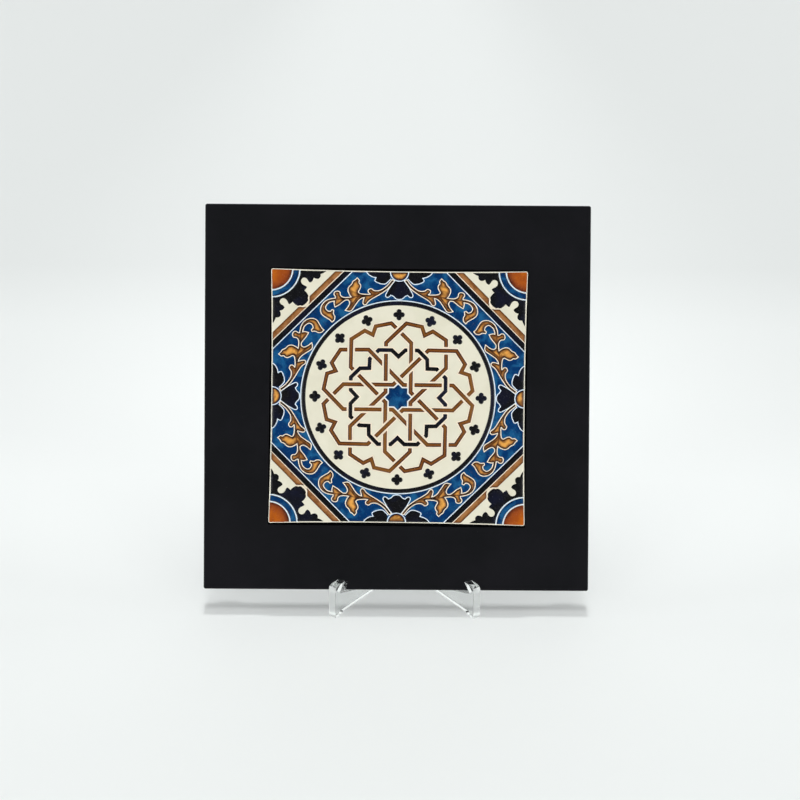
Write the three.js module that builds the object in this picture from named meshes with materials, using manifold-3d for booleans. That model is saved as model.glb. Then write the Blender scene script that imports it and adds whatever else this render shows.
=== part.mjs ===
// Framed ceramic tile: a glazed relief tile set in a black board, leaning on a clear two-plate easel.
// Millimetres, +Z up, the tile faces -Y, the easel's feet stand on z = 0.
import * as THREE from "three";
import { mergeVertices } from "three/addons/utils/BufferGeometryUtils.js";
import Module from "manifold-3d";

const wasm = await Module();
wasm.setup();

// Clearances
const CONTACT_GAP = 0.3; // between pieces that rest on each other in the leaning group
const TILE_FIT = 0.6; // tile corner to pocket wall
const NAIL_FIT = 0.2; // nail shank to the hole around it
const LAP_FIT = 0.3; // half-lap slot to the plate in it
const CUT_OVER = 1; // how far a cutting shape reaches past the piece it cuts

// Board
const BOARD_SIDE = 228.6;
const BOARD_THICK = 12;
const BOARD_CORNER = 1.2; // rounding of the four upright edges
const BOARD_ARRIS = 0.7; // eased front and back edges
const LEAN = THREE.MathUtils.degToRad(20); // board leans back from upright

// Tile
const TILE_SIDE = 152; // corner to corner
const TILE_BOW = 0.95; // how far each edge bows in at its middle
const TILE_THICK = 6.5;
const TILE_PROUD = 1.6; // face ahead of the board's face
const TILE_ARRIS = 0.6;
const RIM = 0.6; // plain rim left round the glazed field
const TILE_OFFSET = 0.6; // tile and pocket to the right of the board's middle
const TILE_TURN = THREE.MathUtils.degToRad(0.37); // and turned clockwise in the board
const BASIN = 0.4; // depth of the pressed glaze basins
const KEY_WIDTH = 6; // keying grooves on the tile's back
const KEY_DEPTH = 0.8;
const KEY_COUNT = 5;
const KEY_PITCH = 24;

// Ornament, measured from the tile's centre or from its corners
const STRAP_WIDTH = 2.4;
const STAR_HALF = 5.5; // half side of the two squares of the middle star
const STRAP_OCTAGON = 7.4; // inradius of the octagon that the light straps leave
const ARM_END = [33.2, 35.4]; // radius and angle off the petal's axis
const PETAL_CORNER = [44.2, 16.7];
const PETAL_TIP = [44.2, 4.5];
const PETAL_NOTCH = 40.0;
const DARK_OCTAGON = 28.0; // inradius of the dark strap
const NOTCH_DEPTH = 3.8;
const NOTCH_HALF = 4.0;
const FLOWER_COUNT = 16;
const FLOWER_RING = 49.1;
const FLOWER_LOBE = 1.55;
const FLOWER_REACH = 1.85;
const RING_INNER = 54.65;
const RING_WIDTH = 2.4;
const RING_OUTER = RING_INNER + RING_WIDTH;
const RIDGE = 0.9; // raised line left between two glazes
const CORNER_DISC = 12.75;
const CORNER_RING_WIDTH = 3.3;
const CORNER_RING_INNER = CORNER_DISC + RIDGE;
const CORNER_RING_OUTER = CORNER_RING_INNER + CORNER_RING_WIDTH;
const LIGHT_BAND_NEAR = 39.7; // both distances from the corner's sides added up
const LIGHT_BAND_WIDTH = 4.2;
const DARK_BAND_WIDTH = 4.0;
const BAND_LINE = 1.2; // raised line between the two bands
const LIGHT_BAND = [LIGHT_BAND_NEAR, LIGHT_BAND_NEAR + LIGHT_BAND_WIDTH];
const DARK_BAND = [LIGHT_BAND[1] + BAND_LINE, LIGHT_BAND[1] + BAND_LINE + DARK_BAND_WIDTH];
const SIDE_DISC = 5.4;

// Leaf outlines: x and z of each point, and 1 where the outline has a corner
// A branch growing left from the flower in the middle of the upper side, from the tile's middle
const BRANCH = [
  [-4.4, 68.6, 1], [-7.0, 66.0], [-11.2, 63.4], [-14.6, 63.2], [-16.6, 64.4], [-18.3, 63.6],
  [-18.2, 62.1], [-17.2, 61.1], [-20.6, 61.0], [-23.2, 61.4], [-24.1, 62.4], [-23.5, 63.7],
  [-22.8, 65.4], [-23.1, 66.8], [-23.9, 67.8], [-23.7, 69.2], [-24.9, 70.7, 1], [-26.2, 69.4],
  [-27.4, 68.6], [-28.2, 66.9], [-29.8, 65.2], [-30.3, 63.2], [-29.5, 60.9], [-28.4, 59.3, 1],
  [-31.6, 58.9], [-33.8, 59.4], [-34.8, 60.6], [-35.0, 62.0], [-36.4, 62.7], [-38.1, 62.1],
  [-38.5, 60.7], [-37.7, 59.4], [-37.6, 58.5, 1], [-40.9, 57.9], [-43.8, 56.5], [-45.8, 53.9],
  [-46.3, 50.9], [-45.4, 48.6], [-43.2, 47.0], [-40.8, 45.6], [-39.5, 44.2, 1], [-38.1, 45.6],
  [-37.9, 47.6], [-38.7, 49.2], [-38.5, 51.2, 1], [-39.6, 51.6], [-40.5, 50.6], [-42.3, 51.0],
  [-43.4, 52.7], [-42.7, 54.5], [-40.9, 56.1], [-38.2, 56.7, 1], [-38.4, 55.4], [-37.8, 53.2, 1],
  [-35.3, 54.6], [-33.4, 56.2], [-31.6, 57.4], [-30.0, 57.4, 1], [-29.2, 56.2], [-29.4, 54.8],
  [-30.3, 53.2], [-31.8, 51.3, 1], [-29.6, 50.8], [-28.2, 51.2], [-27.2, 52.4], [-25.7, 54.7],
  [-23.9, 57.2], [-22.1, 58.6], [-20.7, 59.0, 1], [-21.2, 57.3], [-21.4, 55.6], [-20.6, 54.6, 1],
  [-19.4, 55.0], [-18.0, 56.9], [-15.3, 58.8], [-11.2, 61.2], [-6.9, 64.2], [-3.7, 67.8, 1],
];
// Left half of that flower's middle petal, and its left petal
const MIDDLE_PETAL = [
  [-3.0, 68.6, 1], [-5.6, 65.2], [-7.4, 62.2], [-8.0, 60.4], [-7.3, 59.4], [-6.2, 59.5],
  [-4.9, 60.4, 1], [-3.4, 60.0], [-2.2, 58.8], [-0.9, 58.3],
];
const SIDE_PETAL = [
  [-19.4, 74.2, 1], [-17.6, 72.0], [-14.0, 70.9, 1], [-14.3, 69.4], [-13.4, 68.4], [-10.0, 67.2],
  [-7.6, 67.4], [-5.9, 69.4], [-5.6, 71.4], [-6.2, 74.2, 1],
];
// Half of a corner's dark leaves, as distances from the tile's two sides
const CORNER_LEAF = [
  [17.2, 1.3, 1], [32.6, 1.3, 1], [30.8, 2.5], [29.2, 3.1, 1], [29.1, 4.8], [27.9, 5.9],
  [26.2, 5.8], [25.2, 5.2, 1], [24.6, 7.0], [23.1, 8.2], [21.9, 7.2, 1], [21.1, 5.9],
  [19.7, 5.3], [18.3, 5.9], [17.7, 7.3], [18.1, 8.7], [19.2, 9.7, 1], [21.2, 10.8],
  [20.5, 12.1], [19.7, 12.9, 1], [21.1, 14.2], [22.1, 16.0], [21.6, 17.6, 1], [22.3, 19.2],
  [21.4, 21.4, 1],
];

// Glue dabs behind the tile
const GLUE_THICK = 1.2;
const GLUE_RADIUS = 14;
const GLUE_SPREAD = 48;

// Back of the board
const PAD_RADIUS = 6;
const PAD_THICK = 2;
const PAD_INSET = 14; // pad's middle from the board's edges
const HANGER_LENGTH = 40;
const HANGER_RAISED = 24; // length of the raised middle
const HANGER_STEP = 2.2; // run of each sloping step
const HANGER_HEIGHT = 9;
const HANGER_LIFT = 1.6; // raised middle off the board
const HANGER_SHEET = 0.8;
const HANGER_DROP = 24; // hanger's middle below the board's top edge
const TOOTH_COUNT = 9;
const TOOTH_DEPTH = 1.6;
const TOOTH_MARGIN = 1; // plain edge left at both ends of the row of teeth
const TOOTH_SHARE = 0.9; // width of a notch as a share of its pitch
const NAIL_SHANK = 1.5;
const NAIL_HEAD = 3.4;
const NAIL_HEAD_THICK = 0.8;
const NAIL_BITE = 3.0; // length of shank in the board

// Easel
const PLATE_THICK = 5;
const SPREAD = THREE.MathUtils.degToRad(34); // each plate's plan angle off straight back
const FOOT_HALF = 42.7; // front foot's middle from the easel's middle
const EASEL_SHIFT = 5.2; // easel's middle to the right of the board's middle
const SEAT_HEIGHT = 10.2; // board's lowest edge above the floor
const SEAT_DEPTH = 7.6; // front foot to the board's lower front edge
const CLAW_RISE = 6.1; // claw's tip above the board's lower edge, along the board
const CLAW_HOLLOW = 2.9; // how much the claw's root stands clear of the board
const CLAW_ROUND = 3.8; // rounded front of the claw
const ARM_LENGTH = 85;
const ARM_TOP = 8; // arm's width at its top
const ARM_WAIST = 12; // arm's width where it grows out of the web
const WEB_RISE = 50; // height of that place, along the board
const TAIL = 40; // plate behind the crossing
const TAIL_HEIGHT = 9;
const FOOT_LENGTH = 4.5;
const FOOT_RELIEF = 1.5;
const FOOT_ROUND = 0.8; // roundings, as the length cut from both sides of a corner
const TAIL_ROUND = 5;
const WEB_ROUND = 18;
const ARM_BACK_ROUND = 4;
const ARM_FRONT_ROUND = 3;
const SEAT_ROUND = 0.8;
const CLAW_ROOT_ROUND = 1.6;
const CLAW_TIP_ROUND = 0.7;

// Materials
const PAINT = new THREE.MeshStandardMaterial({ color: 0x1c1e21, roughness: 0.7, metalness: 0 });
const GLAZE = new THREE.MeshStandardMaterial({ color: 0xebe4d0, roughness: 0.25, metalness: 0 });
const GLUE = new THREE.MeshStandardMaterial({ color: 0xd8d2c0, roughness: 0.6, metalness: 0 });
const FELT = new THREE.MeshStandardMaterial({ color: 0x191919, roughness: 0.95, metalness: 0 });
const STEEL = new THREE.MeshStandardMaterial({ color: 0x9b9da0, roughness: 0.35, metalness: 1 });
const CLEAR = new THREE.MeshStandardMaterial({
  color: 0xe9f2f1,
  roughness: 0.08,
  metalness: 0,
  transparent: true,
  opacity: 0.3,
});

// Joining and cutting

function solid(geometry) {
  const bare = geometry.clone();
  bare.deleteAttribute("normal");
  bare.deleteAttribute("uv");
  const merged = mergeVertices(bare, 1e-4);
  return new wasm.Manifold(
    new wasm.Mesh({
      numProp: 3,
      vertProperties: merged.attributes.position.array,
      triVerts: new Uint32Array(merged.index.array),
    }),
  );
}

function geometryOf(body) {
  const mesh = body.getMesh();
  const geometry = new THREE.BufferGeometry();
  geometry.setAttribute("position", new THREE.BufferAttribute(mesh.vertProperties, 3));
  geometry.setIndex(new THREE.BufferAttribute(mesh.triVerts, 1));
  const flat = geometry.toNonIndexed();
  flat.computeVertexNormals();
  return flat;
}

function piece(name, geometry, material) {
  const mesh = new THREE.Mesh(geometry, material);
  mesh.name = name;
  return mesh;
}

function joined(bodies) {
  return bodies.reduce((all, body) => all.add(body));
}

// A shape drawn in X and Z, made thick from y = front to y = back.
function slab(shape, front, back, curveSegments = 8) {
  const geometry = new THREE.ExtrudeGeometry(shape, {
    depth: back - front,
    bevelEnabled: false,
    curveSegments,
  });
  geometry.rotateX(Math.PI / 2);
  geometry.translate(0, back, 0);
  return geometry;
}

// The same with eased edges, whose size counts inside the shape and the thickness.
function easedSlab(shape, front, back, arris, curveSegments) {
  const geometry = new THREE.ExtrudeGeometry(shape, {
    depth: back - front - 2 * arris,
    bevelEnabled: true,
    bevelThickness: arris,
    bevelSize: arris,
    bevelOffset: -arris,
    bevelSegments: 2,
    curveSegments,
  });
  geometry.rotateX(Math.PI / 2);
  geometry.translate(0, back - arris, 0);
  return geometry;
}

// A turned piece about the Y axis, its profile given as radius and y.
function turned(profile, segments) {
  const geometry = new THREE.LatheGeometry(
    profile.map(([radius, y]) => new THREE.Vector2(radius, y)),
    segments,
  );
  return geometry;
}

function polygon(points) {
  const shape = new THREE.Shape();
  points.forEach(([x, z], i) => {
    if (i === 0) shape.moveTo(x, z);
    else shape.lineTo(x, z);
  });
  shape.closePath();
  return shape;
}

// An outline whose corners are rounded: each point is x, z and the length cut from both of its sides.
function roundedOutline(points) {
  const shape = new THREE.Shape();
  const count = points.length;
  const toward = (from, to, length) => {
    const run = Math.hypot(to[0] - from[0], to[1] - from[1]);
    return [
      from[0] + ((to[0] - from[0]) * length) / run,
      from[1] + ((to[1] - from[1]) * length) / run,
    ];
  };
  points.forEach((point, i) => {
    const before = points[(i + count - 1) % count];
    const after = points[(i + 1) % count];
    const cutLength = point[2] || 0;
    const start = cutLength ? toward(point, before, cutLength) : point;
    if (i === 0) shape.moveTo(start[0], start[1]);
    else shape.lineTo(start[0], start[1]);
    if (cutLength) {
      const end = toward(point, after, cutLength);
      shape.quadraticCurveTo(point[0], point[1], end[0], end[1]);
    }
  });
  shape.closePath();
  return shape;
}

const polar = (radius, degrees) => {
  const turn = THREE.MathUtils.degToRad(degrees);
  return [radius * Math.cos(turn), radius * Math.sin(turn)];
};

// A closed strap of even width along a closed path, with mitred corners.
function strap(path, width) {
  const side = (half) =>
    path.map((point, i) => {
      const before = path[(i + path.length - 1) % path.length];
      const after = path[(i + 1) % path.length];
      const a = new THREE.Vector2(point[0] - before[0], point[1] - before[1]).normalize();
      const b = new THREE.Vector2(after[0] - point[0], after[1] - point[1]).normalize();
      const normal = new THREE.Vector2(a.y + b.y, -a.x - b.x).normalize();
      const reach = half / Math.max(0.3, normal.dot(new THREE.Vector2(a.y, -a.x)));
      return [point[0] + normal.x * reach, point[1] + normal.y * reach];
    });
  const shape = polygon(side(width / 2));
  shape.holes.push(polygon(side(-width / 2)));
  return shape;
}

// Tile

// The tile's outline: straight corners joined by edges that bow in, set in by a margin.
function tileOutline(margin) {
  const half = TILE_SIDE / 2 - margin;
  const waist = half - 2 * TILE_BOW;
  const shape = new THREE.Shape();
  shape.moveTo(-half, -half);
  shape.quadraticCurveTo(0, -waist, half, -half);
  shape.quadraticCurveTo(waist, 0, half, half);
  shape.quadraticCurveTo(0, waist, -half, half);
  shape.quadraticCurveTo(-waist, 0, -half, -half);
  return shape;
}

function disc(x, z, radius) {
  const shape = new THREE.Shape();
  shape.absarc(x, z, radius, 0, 2 * Math.PI, false);
  return shape;
}

function ring(x, z, inner, outer) {
  const shape = disc(x, z, outer);
  const hole = new THREE.Path();
  hole.absarc(x, z, inner, 0, 2 * Math.PI, true);
  shape.holes.push(hole);
  return shape;
}

// One light strap: two petals on opposite sides, joined by long arms that bend by the middle.
function lightStrapPath(turn) {
  const bend = STRAP_OCTAGON / Math.cos(Math.PI / 8);
  const half = [
    [bend, 90],
    ARM_END,
    PETAL_CORNER,
    PETAL_TIP,
    [PETAL_NOTCH, 0],
    [PETAL_TIP[0], -PETAL_TIP[1]],
    [PETAL_CORNER[0], -PETAL_CORNER[1]],
    [ARM_END[0], -ARM_END[1]],
  ];
  const whole = [0, 180].flatMap((side) => half.map(([r, a]) => polar(r, turn + side - a)));
  return whole;
}

// The dark strap: an octagon with a notch in the middle of each side.
function darkStrapPath() {
  const corner = DARK_OCTAGON / Math.cos(Math.PI / 8);
  const path = [];
  for (let side = 0; side < 8; side++) {
    const turn = side * 45;
    const [cx, cz] = polar(DARK_OCTAGON, turn);
    const [tx, tz] = polar(NOTCH_HALF, turn + 90);
    path.push(polar(corner, turn - 22.5));
    path.push([cx - tx, cz - tz]);
    path.push(polar(DARK_OCTAGON - NOTCH_DEPTH, turn));
    path.push([cx + tx, cz + tz]);
  }
  return path;
}

// A four-lobed flower, as one outline of four arcs.
function flowerOutline(turn) {
  const [cx, cz] = polar(FLOWER_RING, turn);
  const shape = new THREE.Shape();
  const points = [];
  for (let lobe = 0; lobe < 4; lobe++) {
    const [lx, lz] = polar(FLOWER_REACH, turn + 90 * lobe);
    for (let step = -3; step <= 3; step++) {
      const [px, pz] = polar(FLOWER_LOBE, turn + 90 * lobe + step * 40);
      points.push([cx + lx + px, cz + lz + pz]);
    }
  }
  points.forEach(([x, z], i) => (i ? shape.lineTo(x, z) : shape.moveTo(x, z)));
  shape.closePath();
  return shape;
}

// A straight band across the upper right corner, between two sums of the distances from its sides.
function cornerBand([near, far]) {
  const half = TILE_SIDE / 2;
  const at = (a, b) => [half - a, half - b];
  return polygon([at(near, 0), at(far, 0), at(0, far), at(0, near)]);
}

// An outline curved through its points, with a corner at each point marked so. The first one is a corner.
function leafOutline(points) {
  const shape = new THREE.Shape();
  shape.moveTo(points[0][0], points[0][1]);
  let run = [];
  for (const [x, z, corner] of [...points.slice(1), points[0]]) {
    run.push(new THREE.Vector2(x, z));
    if (corner) {
      shape.splineThru(run);
      run = [];
    }
  }
  return shape;
}

const mirrored = (points) => points.map(([x, z, corner]) => [-x, z, corner]).reverse();
const swapped = (points) => points.map(([x, z, corner]) => [z, x, corner]).reverse();

// A glaze cell of some outline, turned about the tile's middle, as the space to cut from the tile's face.
function cell(shape, segments = 8, turn = 0) {
  const geometry = slab(shape, -TILE_PROUD - BASIN, -TILE_PROUD + BASIN, segments);
  geometry.rotateY(THREE.MathUtils.degToRad(turn));
  return solid(geometry);
}

const QUARTERS = [0, 90, 180, 270]; // the turns that repeat a corner or a side

// Straps, star, flowers and ring of the rosette.
function rosette() {
  const cells = [cell(ring(0, 0, RING_INNER, RING_OUTER), 36)];
  for (const turn of [0, 45, 90, 135]) {
    cells.push(cell(strap(lightStrapPath(turn + 22.5), STRAP_WIDTH)));
  }
  cells.push(cell(strap(darkStrapPath(), STRAP_WIDTH)));
  for (const turn of [45, 90]) {
    const reach = STAR_HALF * Math.SQRT2;
    cells.push(cell(polygon(QUARTERS.map((a) => polar(reach, turn + a)))));
  }
  for (let i = 0; i < FLOWER_COUNT; i++) {
    cells.push(cell(flowerOutline((360 / FLOWER_COUNT) * i)));
  }
  return joined(cells);
}

// Discs, rings, leaves and bands of the four corners.
function corners() {
  const half = TILE_SIDE / 2;
  const leaf = [...CORNER_LEAF, ...swapped(CORNER_LEAF).slice(1)];
  const placed = leaf.map(([a, b, corner]) => [half - a, half - b, corner]);
  const hollow = disc(half, half, CORNER_RING_OUTER + RIDGE);
  const cells = QUARTERS.flatMap((turn) => [
    cell(leafOutline(placed), 1, turn).subtract(cell(hollow, 24, turn)),
    cell(disc(half, half, CORNER_DISC), 24, turn),
    cell(ring(half, half, CORNER_RING_INNER, CORNER_RING_OUTER), 24, turn),
    cell(cornerBand(LIGHT_BAND), 1, turn),
    cell(cornerBand(DARK_BAND), 1, turn),
  ]);
  return joined(cells);
}

// Flowers in the middle of the sides, and the branches that grow from them.
function foliage() {
  const leaves = [
    [...MIDDLE_PETAL, ...mirrored(MIDDLE_PETAL)],
    SIDE_PETAL,
    mirrored(SIDE_PETAL),
    BRANCH,
    mirrored(BRANCH),
  ];
  const cells = QUARTERS.flatMap((turn) => [
    cell(disc(0, TILE_SIDE / 2 - TILE_BOW, SIDE_DISC), 16, turn),
    ...leaves.map((points) => cell(leafOutline(points), 1, turn)),
  ]);
  return joined(cells);
}

// All the glaze cells, kept off the tile's rim.
function basins() {
  const field = solid(slab(tileOutline(RIM), -TILE_PROUD - 2 * BASIN, -TILE_PROUD + 2 * BASIN));
  return joined([rosette(), corners(), foliage()]).intersect(field);
}

function tileBody() {
  const face = -TILE_PROUD;
  const back = face + TILE_THICK;
  let body = solid(easedSlab(tileOutline(0), face, back, TILE_ARRIS, 8));
  body = body.subtract(basins());
  for (let i = 0; i < KEY_COUNT; i++) {
    const groove = new THREE.BoxGeometry(KEY_WIDTH, 2 * KEY_DEPTH, 2 * TILE_SIDE);
    groove.translate((i - (KEY_COUNT - 1) / 2) * KEY_PITCH, back, 0);
    body = body.subtract(solid(groove));
  }
  return body;
}

// Board

const POCKET_DEPTH = TILE_THICK - TILE_PROUD + GLUE_THICK + 2 * CONTACT_GAP;
const POCKET_SIDE = TILE_SIDE + 2 * TILE_FIT;
const HANGER_BACK = BOARD_THICK + CONTACT_GAP;
const NAIL_OFF = (HANGER_LENGTH + HANGER_RAISED + 2 * HANGER_STEP) / 4; // nail from the middle
const HANGER_Z = BOARD_SIDE / 2 - HANGER_DROP;

// Tile and pocket sit a little off the board's middle, and not quite square to it.
function inlaid(geometry) {
  geometry.rotateY(TILE_TURN);
  geometry.translate(TILE_OFFSET, 0, 0);
  return geometry;
}

function boardOutline() {
  const half = BOARD_SIDE / 2;
  return roundedOutline([
    [-half, -half, BOARD_CORNER],
    [half, -half, BOARD_CORNER],
    [half, half, BOARD_CORNER],
    [-half, half, BOARD_CORNER],
  ]);
}

function boardBody() {
  let body = solid(easedSlab(boardOutline(), 0, BOARD_THICK, BOARD_ARRIS, 3));
  const pocket = new THREE.BoxGeometry(POCKET_SIDE, 2 * POCKET_DEPTH, POCKET_SIDE);
  body = body.subtract(solid(inlaid(pocket)));
  for (const side of [-1, 1]) {
    const hole = new THREE.CylinderGeometry(
      NAIL_SHANK / 2 + NAIL_FIT,
      NAIL_SHANK / 2 + NAIL_FIT,
      2 * (NAIL_BITE + CONTACT_GAP),
      16,
    );
    hole.translate(side * NAIL_OFF, BOARD_THICK, HANGER_Z);
    body = body.subtract(solid(hole));
  }
  return body;
}

// Back hardware

function glueDab(x, z) {
  const back = POCKET_DEPTH - CONTACT_GAP;
  const bulge = GLUE_THICK / 2;
  const geometry = turned(
    [
      [0, 0],
      [GLUE_RADIUS - bulge, 0],
      [GLUE_RADIUS, bulge],
      [GLUE_RADIUS - bulge, GLUE_THICK],
      [0, GLUE_THICK],
    ],
    32,
  );
  geometry.translate(x, back - GLUE_THICK, z);
  return geometryOf(solid(geometry));
}

function feltPad(x, z) {
  const geometry = new THREE.CylinderGeometry(PAD_RADIUS, PAD_RADIUS, PAD_THICK, 32);
  geometry.translate(x, BOARD_THICK + CONTACT_GAP + PAD_THICK / 2, z);
  return geometry;
}

// Sheet hanger: flat ends nailed down, a raised middle, teeth cut up from its lower edge.
function hangerBody() {
  const near = HANGER_BACK;
  const raised = near + HANGER_LIFT;
  const end = HANGER_LENGTH / 2;
  const flat = HANGER_RAISED / 2;
  const foot = flat + HANGER_STEP;
  const section = polygon([
    [-end, near],
    [-foot, near],
    [-flat, raised],
    [flat, raised],
    [foot, near],
    [end, near],
    [end, near + HANGER_SHEET],
    [foot - HANGER_SHEET / 2, near + HANGER_SHEET],
    [flat - HANGER_SHEET / 2, raised + HANGER_SHEET],
    [-flat + HANGER_SHEET / 2, raised + HANGER_SHEET],
    [-foot + HANGER_SHEET / 2, near + HANGER_SHEET],
    [-end, near + HANGER_SHEET],
  ]);
  const sheet = new THREE.ExtrudeGeometry(section, { depth: HANGER_HEIGHT, bevelEnabled: false });
  sheet.translate(0, 0, HANGER_Z - HANGER_HEIGHT / 2);
  let body = solid(sheet);
  const pitch = (HANGER_RAISED - 2 * TOOTH_MARGIN) / TOOTH_COUNT;
  const reach = (pitch * TOOTH_SHARE) / 2;
  const low = HANGER_Z - HANGER_HEIGHT / 2;
  for (let i = 0; i < TOOTH_COUNT; i++) {
    const middle = (i - (TOOTH_COUNT - 1) / 2) * pitch;
    const notch = polygon([
      [middle - reach, low - CUT_OVER],
      [middle + reach, low - CUT_OVER],
      [middle, low + TOOTH_DEPTH],
    ]);
    body = body.subtract(solid(slab(notch, near - CUT_OVER, raised + HANGER_SHEET + CUT_OVER)));
  }
  for (const side of [-1, 1]) {
    const radius = NAIL_SHANK / 2 + NAIL_FIT;
    const hole = new THREE.CylinderGeometry(radius, radius, 2 * HANGER_SHEET + CUT_OVER, 16);
    hole.translate(side * NAIL_OFF, near, HANGER_Z);
    body = body.subtract(solid(hole));
  }
  return body;
}

function nail(side) {
  const seat = HANGER_BACK + HANGER_SHEET + CONTACT_GAP;
  const tip = BOARD_THICK - NAIL_BITE;
  const profile = [
    [0, tip],
    [NAIL_SHANK / 2, tip + NAIL_SHANK],
    [NAIL_SHANK / 2, seat],
    [NAIL_HEAD / 2, seat],
    [NAIL_HEAD / 2, seat + NAIL_HEAD_THICK * 0.4],
    [NAIL_HEAD / 4, seat + NAIL_HEAD_THICK],
    [0, seat + NAIL_HEAD_THICK],
  ];
  const geometry = turned(profile, 16);
  geometry.translate(side * NAIL_OFF, 0, HANGER_Z);
  return geometryOf(solid(geometry));
}

// Easel

const LEAN_SIN = Math.sin(LEAN);
const LEAN_COS = Math.cos(LEAN);
const SEAT_FRONT_Z = SEAT_HEIGHT + BOARD_THICK * LEAN_SIN; // board's lower front edge
const OBLIQUE = (PLATE_THICK / 2) * Math.sin(SPREAD); // depth gained across half a plate
const FACE_GAP = CONTACT_GAP + OBLIQUE * LEAN_COS;
const FLOOR_GAP = CONTACT_GAP + OBLIQUE * LEAN_SIN;
const CROSSING = FOOT_HALF / Math.tan(SPREAD);
// Depth and height of a point given behind the board's face and up along the board.
function seatPoint(behind, up) {
  return [
    SEAT_DEPTH + behind * LEAN_COS + up * LEAN_SIN,
    SEAT_FRONT_Z - behind * LEAN_SIN + up * LEAN_COS,
  ];
}

const ARM_FRONT = BOARD_THICK + FACE_GAP;
const WEB_TOP = seatPoint(ARM_FRONT + ARM_WAIST, WEB_RISE);
const REAR = CROSSING + TAIL;
// Half of the web's height where the plates cross
const WEB_SLOPE = (TAIL_HEIGHT - WEB_TOP[1]) / (REAR - WEB_TOP[0]);
const LAP_HEIGHT = (WEB_TOP[1] + WEB_SLOPE * (CROSSING - WEB_TOP[0])) / 2;

// One plate's outline, in depth and height, stretched to the plate's own length.
function plateOutline() {
  const clawTip = seatPoint(-FACE_GAP, CLAW_RISE);
  const points = [
    [0, 0, FOOT_ROUND],
    [FOOT_LENGTH, 0, 0],
    [FOOT_LENGTH + FOOT_RELIEF, FOOT_RELIEF, FOOT_ROUND],
    [REAR - FOOT_LENGTH - FOOT_RELIEF, FOOT_RELIEF, FOOT_ROUND],
    [REAR - FOOT_LENGTH, 0, 0],
    [REAR, 0, FOOT_ROUND],
    [REAR, TAIL_HEIGHT, TAIL_ROUND],
    [...WEB_TOP, WEB_ROUND],
    [...seatPoint(ARM_FRONT + ARM_TOP, ARM_LENGTH), ARM_BACK_ROUND],
    [...seatPoint(ARM_FRONT, ARM_LENGTH), ARM_FRONT_ROUND],
    [...seatPoint(ARM_FRONT, -FLOOR_GAP), SEAT_ROUND],
    [...seatPoint(-FACE_GAP - CLAW_HOLLOW, -FLOOR_GAP), CLAW_ROOT_ROUND],
    [...clawTip, CLAW_TIP_ROUND],
    [0, clawTip[1], CLAW_ROUND],
  ];
  return roundedOutline(points.map(([y, z, r]) => [y / Math.cos(SPREAD), z, r]));
}

// Places a plate drawn along X: side -1 is the left plate, 1 the right one.
function placePlate(geometry, side) {
  geometry.rotateZ(Math.PI / 2 + side * SPREAD);
  geometry.translate(side * FOOT_HALF, 0, 0);
  return geometry;
}

// Space that the other plate takes at the crossing, above or below the lap.
function lapCut(side, low, high) {
  const length = 2 * TAIL;
  const block = new THREE.BoxGeometry(length, PLATE_THICK + 2 * LAP_FIT, high - low);
  block.translate(CROSSING / Math.cos(SPREAD), 0, (high + low) / 2);
  return solid(placePlate(block, side));
}

function plateBody(side) {
  const body = solid(placePlate(slab(plateOutline(), -PLATE_THICK / 2, PLATE_THICK / 2, 5), side));
  if (side < 0) return body.subtract(lapCut(1, LAP_HEIGHT - LAP_FIT / 2, 2 * ARM_LENGTH));
  return body.subtract(lapCut(-1, -LAP_HEIGHT, LAP_HEIGHT + LAP_FIT / 2));
}

// Assembly

const framedTile = new THREE.Group();
framedTile.name = "framed_tile";
framedTile.add(piece("board", geometryOf(boardBody()), PAINT));
framedTile.add(piece("tile", inlaid(geometryOf(tileBody())), GLAZE));
const dabPlaces = [
  [0, 0],
  [-GLUE_SPREAD, -GLUE_SPREAD],
  [GLUE_SPREAD, -GLUE_SPREAD],
  [-GLUE_SPREAD, GLUE_SPREAD],
  [GLUE_SPREAD, GLUE_SPREAD],
];
dabPlaces.forEach(([x, z], i) => {
  framedTile.add(piece("glue_dab_" + (i + 1), glueDab(x, z), GLUE));
});
const padOff = BOARD_SIDE / 2 - PAD_INSET;
const padPlaces = [
  [-padOff, -padOff],
  [padOff, -padOff],
  [-padOff, padOff],
  [padOff, padOff],
];
padPlaces.forEach(([x, z], i) => {
  framedTile.add(piece("felt_pad_" + (i + 1), feltPad(x, z), FELT));
});
framedTile.add(piece("hanger", geometryOf(hangerBody()), STEEL));
framedTile.add(piece("hanger_nail_left", nail(-1), STEEL));
framedTile.add(piece("hanger_nail_right", nail(1), STEEL));
framedTile.children.forEach((child) => child.geometry.translate(0, 0, BOARD_SIDE / 2));
framedTile.rotation.x = -LEAN;
framedTile.position.set(0, SEAT_DEPTH, SEAT_FRONT_Z);

const easel = new THREE.Group();
easel.name = "easel";
easel.add(piece("easel_left_plate", geometryOf(plateBody(-1)), CLEAR));
easel.add(piece("easel_right_plate", geometryOf(plateBody(1)), CLEAR));
easel.position.x = EASEL_SHIFT;

// The whole part is centred over its own footprint.
const whole = new THREE.Group();
whole.add(framedTile, easel);
const extent = new THREE.Box3().setFromObject(whole);
whole.position.y = -(extent.min.y + extent.max.y) / 2;

const group = new THREE.Group();
group.name = "framed_tile_on_easel";
group.add(whole);

export default group;
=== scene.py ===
"""Framed tile on a clear easel: glazed relief, painted board, polished plates, floor, light and camera."""
import math

import bmesh
import bpy
from mathutils import Matrix, Vector
from mathutils.geometry import delaunay_2d_cdt

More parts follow.
